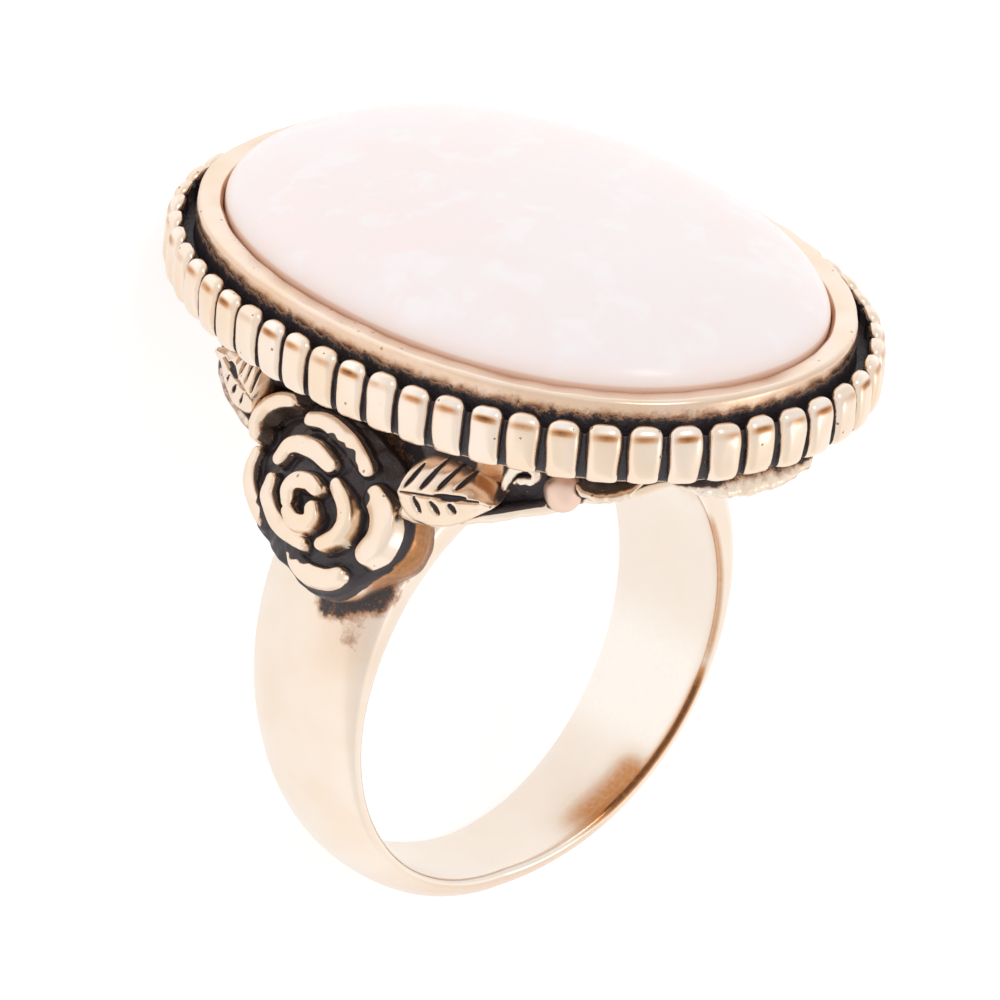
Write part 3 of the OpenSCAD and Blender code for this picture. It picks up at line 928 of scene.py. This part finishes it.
def petalHeight(x, y):
    # Height of the carved surface, and how far into a petal each place is (1 at its middle line, 0 off it)
    ground = groundHeight(x, y)
    height, inside = ground.copy(), np.zeros_like(ground)
    run = np.linspace(-1, 1, roseSizes["petalSteps"])
    for line, half, crest in petals.values():
        wide = half * (0.80 + 0.20 * (1 - run ** 2))
        away = np.full(x.shape, 9.0)
        for (a, b), w in zip(curveThrough(line, len(run)), wide):
            away = np.minimum(away, np.hypot(x - a, y - b) / w)
        rounded = (1 - 0.22 * away ** 2) * fade(away, 0.66, 1.0)
        height = np.maximum(height, ground + (crest - ground) * rounded)
        inside = np.maximum(inside, 1 - np.minimum(away, 1))
    return height, inside


def makeRose(name):
    r = roseSizes
    turn = np.linspace(-np.pi, np.pi, r["spokes"], endpoint=False)
    edge = lineAt(np.degrees(turn), r["edge"])
    reach = np.linspace(2.4, 5.0, 200)
    _, inside = petalHeight(np.outer(reach, np.cos(turn)), np.outer(reach, np.sin(turn)))
    edge = np.maximum(edge, np.max(np.where(inside > 0, reach[:, None], 0), axis=0) + 0.08)
    for _ in range(30):
        edge = (np.roll(edge, 1) + 2 * edge + np.roll(edge, -1)) / 4
    shares = np.linspace(0, 1, r["rings"]) ** 0.9
    x, y = np.outer(shares, edge * np.cos(turn)), np.outer(shares, edge * np.sin(turn))
    z, _ = petalHeight(x, y)
    rings = list(np.stack([x, y, z], -1))
    rings += [roundRing(turn, edge + out, z[-1] - down) for out, down in r["side"]]
    rings += [roundRing(turn, share * edge, r["depth"]) for share in (0.9, 0)]
    rose = skin(name, rings)
    soften = rose.modifiers.new("soften", "SMOOTH")
    soften.factor, soften.iterations = r["soften"], r["softenTimes"]
    rose = applied(rose, name)
    rose.data.transform(atRose)
    return rose


# The opal: flat under, a short upright edge inside the rim, and a low dome
opalSizes = {"gap": 0.03, "foot": 0.12, "edge": 2.14, "crown": 3.08, "rings": 90, "steps": 288}


def makeOpal():
    o, seat = opalSizes, bezelSizes["seatZ"]
    outline = beside(evenAngles(o["steps"]), -bezelSizes["rimWidth"] - o["gap"])
    rings = [atHeight(outline * share, seat + o["gap"]) for share in (0, 0.5, 0.94)]
    rings.append(atHeight(outline, seat + o["gap"] + o["foot"]))
    for e in np.radians(np.linspace(0, 90, o["rings"])):
        rings.append(atHeight(outline * math.cos(e), seat + o["edge"] + o["crown"] * math.sin(e)))
    return skin("opalStone", rings)


band, bezel, ribs, gallery = makeBand(), makeBezel(), makeRibs(), makeGallery()
print("band, bezel, ribs and gallery made")

rails = joined("rails", withCopies(makeRail(), [mirrorY])[::-1])
beads = joined("beads", withCopies(makeBeads(), [mirrorY])[::-1])
otherTips = [mirrorX, mirrorY, mirrorX @ mirrorY]
lips = [makeLip("lip", lipSizes["out"], lipSizes["low"]), makeLip("lipBack", lipSizes["outBack"], lipSizes["lowBack"])]
lips[1].data.transform(halfTurn)
tips = joined("tips", withCopies(makeGarland(), otherTips) + withCopies(makeScroll(), otherTips) + lips)
slightLeaf, *slightCopies = withCopies(makeLeaf("slightLeaf", slightLeafSizes), [mirrorX, mirrorY])
bpy.data.objects.remove(slightLeaf)
leaves = joined("leaves", withCopies(makeLeaf("leaf", leafSizes), [halfTurn]) + slightCopies)
print("rails, beads, tips and leaves made")

roseFront = makeRose("roseFront")
roseBack = copyTurned(roseFront, "roseBack", halfTurn)
opalStone = makeOpal()
metalPieces = [band, bezel, ribs, gallery, rails, beads, tips, leaves, roseFront, roseBack]
print("roses and opal made")

# The finish of each metal piece, and how deep, how short and how long the slight waves in its surface are
metalFinishes = {
    "band": ("band", 0.008, 3.0, 8.0), "bezel": ("rim", 0.012, 1.2, 4.0), "ribs": ("rib", 0.012, 0.7, 2.2),
    "gallery": ("gallery", 0.03, 0.4, 1.2), "rails": ("gallery", 0.02, 0.6, 1.8), "beads": ("bead", 0.010, 0.5, 1.2),
    "tips": ("gallery", 0.025, 0.3, 1.0), "leaves": ("carving", 0.010, 0.7, 1.8),
    "roseFront": ("carving", 0.010, 0.7, 2.0), "roseBack": ("carving", 0.010, 0.7, 2.0),
}
waveSizes = {"seed": 11, "count": 26, "swing": 3.6}  # swing is the usual height of so many waves together


def waver(piece, depth, shortest, longest):
    # As on cast and hand-finished metal: the same place moves alike in every piece
    rng = np.random.default_rng(waveSizes["seed"])
    points = meshPoints(piece)
    total = np.zeros(len(points))
    for _ in range(waveSizes["count"]):
        way = rng.normal(size=3)
        way *= 2 * np.pi / (np.linalg.norm(way) * rng.uniform(shortest, longest))
        total += np.sin(points @ way + rng.uniform(0, 2 * np.pi))
    points += readValues(piece.data.vertices, "normal", 3) * (total * depth / waveSizes["swing"])[:, None]
    piece.data.vertices.foreach_set("co", points.ravel())
    piece.data.update()


for piece in metalPieces:
    waver(piece, *metalFinishes[piece.name][1:])
print("surfaces made uneven")

# Where the antiquing stays: how closed in each point of the metal is
patinaSizes = {
    "reach": 1.1, "rays": 28, "open": 0.16, "shut": 0.52, "lift": 0.02, "evened": 2,
}
goldenAngle = 2.399963

# Where single places begin to be dark, stained or painted with shade, reflection or highlight, are full, fade and are
# clean again
markPlaces = {
    "rimMiddle": 0.475, "wall": (15.2, 15.58), "ribCut": (0.45, 0.75), "ribFoot": (12.84, 12.94), "leafCut": (0.25, 0.6),
    "petalSide": (0.13, 0.30), "bossSide": (0.15, 0.45), "keel": (0.0, 0.25), "overRail": (0.02, 0.12),
    "railTurn": (33, 35, 45, 46), "bareTurn": (29.5, 32.0, 35.0, 37.5), "bareHeight": (10.7, 11.3, 12.5, 12.85),
    # round the band, in degrees from the palm
    "warmReflectionRim": (236, 244, 278, 290), "umberReflectionRim": (280, 292, 326, 336), "reflectedPatch": (308, 316, 330, 344),
    "shine": (270, 290, 304, 318),
}


def rayFan(count):
    fan = []
    for k in range(count):
        height = math.sqrt(1 - (k + 0.5) / count)
        flat = math.sqrt(1 - height * height)
        fan.append((flat * math.cos(k * goldenAngle), flat * math.sin(k * goldenAngle), height))
    return fan


def discPlaces(points):
    # Points seen from the disc of the nearer rose: x towards the tips, y up the disc, z off it
    points = points.copy()
    points[points[:, 0] < 0, :2] *= -1
    turned = np.array(atRose.inverted())
    return (points @ turned[:3, :3].T + turned[:3, 3]).T


def ovalDegrees(points):
    # The angle of each point round the oval, folded into one quarter
    c, d = (np.abs(points[:, k] / oval[size]) ** (oval["squareness"] / 2) for k, size in ((0, "width"), (1, "length")))
    return np.degrees(np.arctan2(d, c))


def ovalShare(points):
    # How far out each point is, in the size of the oval: 0 in the middle, about a half at the bezel's wall
    return np.hypot(points[:, 0] / oval["width"], points[:, 1] / oval["length"])


def barePatch(points):
    # Warm bare metal on the gallery's wall, above the tip of each leaf
    height = window(points[:, 2], *markPlaces["bareHeight"])
    return window(ovalDegrees(points), *markPlaces["bareTurn"]) * height


def shadedShoulderSide(points):
    # Painted brown shade on the shoulder beside each rose
    x, y, z = discPlaces(points)
    return step(x, 2.9, 3.4) * step(-z, 0.5, 0.9) * fade(y, 0.8, 1.6) * fade(np.hypot(x, y), 5.2, 6.6)


def ownPatina(piece, level):
    # What each piece adds to the antiquing of its recesses
    points, s = meshPoints(piece), markPlaces
    x, y, z = discPlaces(points)
    above = z - groundHeight(x, y)
    overKeel = points[:, 2] - keelZ(points[:, 1])
    if piece.name.startswith("rose"):
        turn = np.degrees(np.arctan2(y, x))
        side = np.where((turn > 120) | (turn < -72), 0.2, 0.95 - 0.7 * step(-above, *s["bossSide"]))
        level = np.maximum(level * 0.5, fade(above, *s["petalSide"]))
        level = np.where(above < -0.15, side, level)
    elif piece.name == "ribs":
        level = np.maximum(0.6 * level, step(pointValues(piece, "cut"), *s["ribCut"]))
        level = level * step(points[:, 2], *s["ribFoot"])
    elif piece.name == "bezel":
        wall = (points[:, 2] > 13.9) & (ovalShare(points) > s["rimMiddle"])
        level = np.where(wall, fade(points[:, 2], *s["wall"]), 0.12 * level)
    elif piece.name == "gallery":
        level = np.maximum(level, 0.85 * step(overKeel, *s["keel"])) * (1 - barePatch(points))
    elif piece.name == "tips":
        level = np.maximum(level, 0.28)
    elif piece.name == "leaves":
        level = np.maximum(0.55 * level, step(pointValues(piece, "cut"), *s["leafCut"]))
    elif piece.name == "rails":
        near = (points[:, 1] * points[:, 0] < 0) & (np.abs(points[:, 0]) > 4)
        top = step(overKeel - railSizes["radius"] / 2, *s["overRail"])
        shade = top * window(ovalDegrees(points), *s["railTurn"])  # dark above the rail between leaf and bead
        level = np.maximum.reduce([level, np.where(near, 0.42, 0.0), shade])
    elif piece.name == "band":
        around = 0.58 * step(x, -0.2, 1.0) * fade(np.hypot(x, y), 3.8, 5.0) * (y < 0)
        streak = 0.41 * hump(x, 2.2, 0.85) * fade(-y, 4.0, 6.4) * (y < -1)
        outside = np.hypot(points[:, 0], points[:, 2]) > bandSizes["fingerR"] + 0.4
        level = np.maximum(level, np.maximum(around, streak) * outside)
    # the antiquing gives way to the painted brown shade on the shoulder
    return level * (1 - 0.8 * shadedShoulderSide(points))


def bandPaintedLightAndWarmth(points):
    # Painted light on the band: brown shade on the shoulder below each rose, a painted dark reflection along the rim of
    # the bore on one side with a reflected patch beside it, the bore painted whiter as a highlight, most where it
    # shines, and the outside warmer towards the bottom
    s = markPlaces
    x, y, _ = discPlaces(points)
    away = np.hypot(x, y)
    angle = np.degrees(np.arctan2(points[:, 0], -points[:, 2])) % 360
    inward = halfWidth(np.radians(angle)) - points[:, 1]
    bore = fade(np.hypot(points[:, 0], points[:, 2]) - bandSizes["fingerR"], 0.12, 0.22)
    warm, umberShadeAndReflection = 0.9 * window(angle, *s["warmReflectionRim"]), 2.3 * window(angle, *s["umberReflectionRim"])
    line = hump(inward, 0.10, 0.13) * bore * np.maximum(warm, umberShadeAndReflection)
    reflectedPatch = window(angle, *s["reflectedPatch"]) * fade(inward, 0.7, 2.1) * bore
    shine = window(angle, *s["shine"]) * step(inward, 0.2, 0.6) * bore
    low = 0.38 * step(-points[:, 2], 6.0, 10.0) * (1 - bore)
    shoulder = window(x, 0.3, 2.2, 2.9, 3.15) * (y < 0.5) * (1 - bore)
    shoulder *= 0.9 * fade(away, 3.7, 4.5) + 0.22 * window(away, 3.7, 4.5, 5.0, 6.8)
    paintedLightAndWarmth = np.maximum.reduce([shoulder, line, reflectedPatch, low])
    return paintedLightAndWarmth - (0.35 + 0.65 * shine) * bore * (1 - np.minimum(paintedLightAndWarmth, 1))


def ownPaintedLightAndWarmth(piece):
    # What each piece adds to the painted light: painted shade, painted reflection and painted highlight; on the gallery
    # also warm bare metal
    points = meshPoints(piece)
    if piece.name == "ribs":
        # painted dark reflection and painted highlight on the rib caps, stronger on some ribs than others
        uneven = 0.62 + 0.48 * np.sin(points[:, 1] * 1.7) * np.sin(points[:, 0] * 2.1 + 1)
        return 1.7 * pointValues(piece, "cap") * uneven
    if piece.name == "bezel":
        # painted warm reflection and shade on the rim's inner lip beside the stone, fainter lower on its outer wall
        return np.where(ovalShare(points) < markPlaces["rimMiddle"], 0.6, 0.35) * fade(points[:, 2], 15.6, 15.69)
    if piece.name == "gallery":
        # painted brown shade beside each rose, and warm bare metal above each leaf tip
        return np.maximum(1.5 * shadedShoulderSide(points), barePatch(points))
    if piece.name == "band":
        return bandPaintedLightAndWarmth(points)
    # painted brown shade beside each rose
    return 1.5 * shadedShoulderSide(points)


def closedIn(piece, solid, fan):
    # How much metal the rays from each point meet, evened out between neighbours
    p = patinaSizes
    normals = readValues(piece.data.vertices, "normal", 3)
    spots = (meshPoints(piece) + normals * p["lift"]).tolist()
    side = unit(np.cross(normals, np.where(np.abs(normals[:, 2:]) < 0.9, [[0, 0, 1.0]], [[1.0, 0, 0]])))
    other = np.cross(normals, side)
    shut = np.zeros(len(spots))
    cast, reach = solid.ray_cast, p["reach"]
    for ray in fan:
        ways = (side * ray[0] + other * ray[1] + normals * ray[2]).tolist()
        for k, way in enumerate(ways):
            distance = cast(spots[k], way, reach)[3]
            if distance is not None:
                shut[k] += 1 - 0.5 * distance / reach
    level = np.clip((shut / len(fan) - p["open"]) / (p["shut"] - p["open"]), 0, 1)
    edges = readValues(piece.data.edges, "vertices", 2, np.int64)
    for _ in range(p["evened"]):
        total, near = level.copy(), np.ones(len(level))
        for a, b in (edges.T, edges.T[::-1]):
            np.add.at(total, a, level[b])
            np.add.at(near, a, 1)
        level = total / near
    return level


def darkenRecesses(pieces, blockers):
    points, faces = [], []
    for piece in blockers:
        offset = len(points)
        points += [v.co for v in piece.data.vertices]
        faces += [[i + offset for i in f.vertices] for f in piece.data.polygons]
    solid, fan = BVHTree.FromPolygons(points, faces), rayFan(patinaSizes["rays"])
    for piece in pieces:
        keepValues(piece, "patina", ownPatina(piece, closedIn(piece, solid, fan)))
        keepValues(piece, "paintedLightAndWarmth", ownPaintedLightAndWarmth(piece))


darkenRecesses(metalPieces, metalPieces + [opalStone])
print("antiquing laid in the recesses")

for piece in metalPieces:
    piece.data.materials.clear()
    piece.data.materials.append(materials[metalFinishes[piece.name][0]])
opalStone.data.materials.append(materials["opal"])

for piece in metalPieces + [opalStone]:
    piece.data.transform(lyingMatrix)
    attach(piece, "root")
    if piece is opalStone:
        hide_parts("opal")
    else:
        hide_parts("ring_metal")

# Plain pale floor and soft studio light, in metres
floorSizes = {"half": 3.0, "height": -0.00004, "grey": 0.4, "glow": 0.72}


def makeFloor():
    half, height, grey = floorSizes["half"], floorSizes["height"], floorSizes["grey"]
    corners = [(-half, -half, height), (half, -half, height), (half, half, height), (-half, half, height)]
    floor = newObject("floor", corners, [(0, 1, 2, 3)])
    material = bpy.data.materials.new("floorWhite")
    material.use_nodes = True
    shader = material.node_tree.nodes["Principled BSDF"].inputs
    shader["Base Color"].default_value = (grey, grey, grey, 1)
    shader["Emission Color"].default_value = (1, 1, 1, 1)
    shader["Emission Strength"].default_value = floorSizes["glow"]
    shader["Roughness"].default_value = 0.9
    shader["Specular IOR Level"].default_value = 0.2
    floor.data.materials.append(material)


def addLight(name, place, aim, size, power):
    data = bpy.data.lights.new(name, "AREA")
    data.shape, data.size, data.size_y = "RECTANGLE", size[0], size[1]
    data.energy = power
    light = linked(name, data)
    light.location = place
    light.rotation_mode = "QUATERNION"
    light.rotation_quaternion = (Vector(aim) - Vector(place)).to_track_quat("-Z", "Y")


worldSizes = {
    "horizon": (1.02, 1.0, 0.97, 1), "overhead": (0.94, 0.94, 0.94, 1), "bright": (1.12, 1.10, 1.07, 1),
    "brightWay": (-0.63, 0.69, 0.36), "brightFrom": 0.75, "brightTo": 0.92,
}


def makeWorld():
    # A light tent, warmer towards the horizon and brighter on one side
    w = worldSizes
    world = bpy.data.worlds.new("studio")
    world.use_nodes = True
    tree = world.node_tree
    way = addNode(tree, "ShaderNodeTexCoord").outputs["Generated"]
    up = addNode(tree, "ShaderNodeSeparateXYZ", {0: way}).outputs[2]
    colour = mixColour(tree, mapRange(tree, up, 0.0, 0.6, smooth=True), w["horizon"], w["overhead"])
    near = addNode(tree, "ShaderNodeVectorMath", {0: way, 1: w["brightWay"]}, operation="DOT_PRODUCT").outputs[1]
    near = mapRange(tree, near, w["brightFrom"], w["brightTo"], smooth=True)
    background = tree.nodes["Background"]
    tree.links.new(mixColour(tree, near, colour, w["bright"]), background.inputs[0])
    background.inputs[1].default_value = 1.0
    scene.world = world


makeWorld()
makeFloor()
addLight("keyTop", (0.15, -0.40, 0.90), (0, 0, 0.01), (0.25, 0.25), 0.8)
addLight("sideFill", (-0.5, 0.6, 0.75), (0, 0, 0.01), (0.5, 0.3), 0.5)
print("floor and light placed")
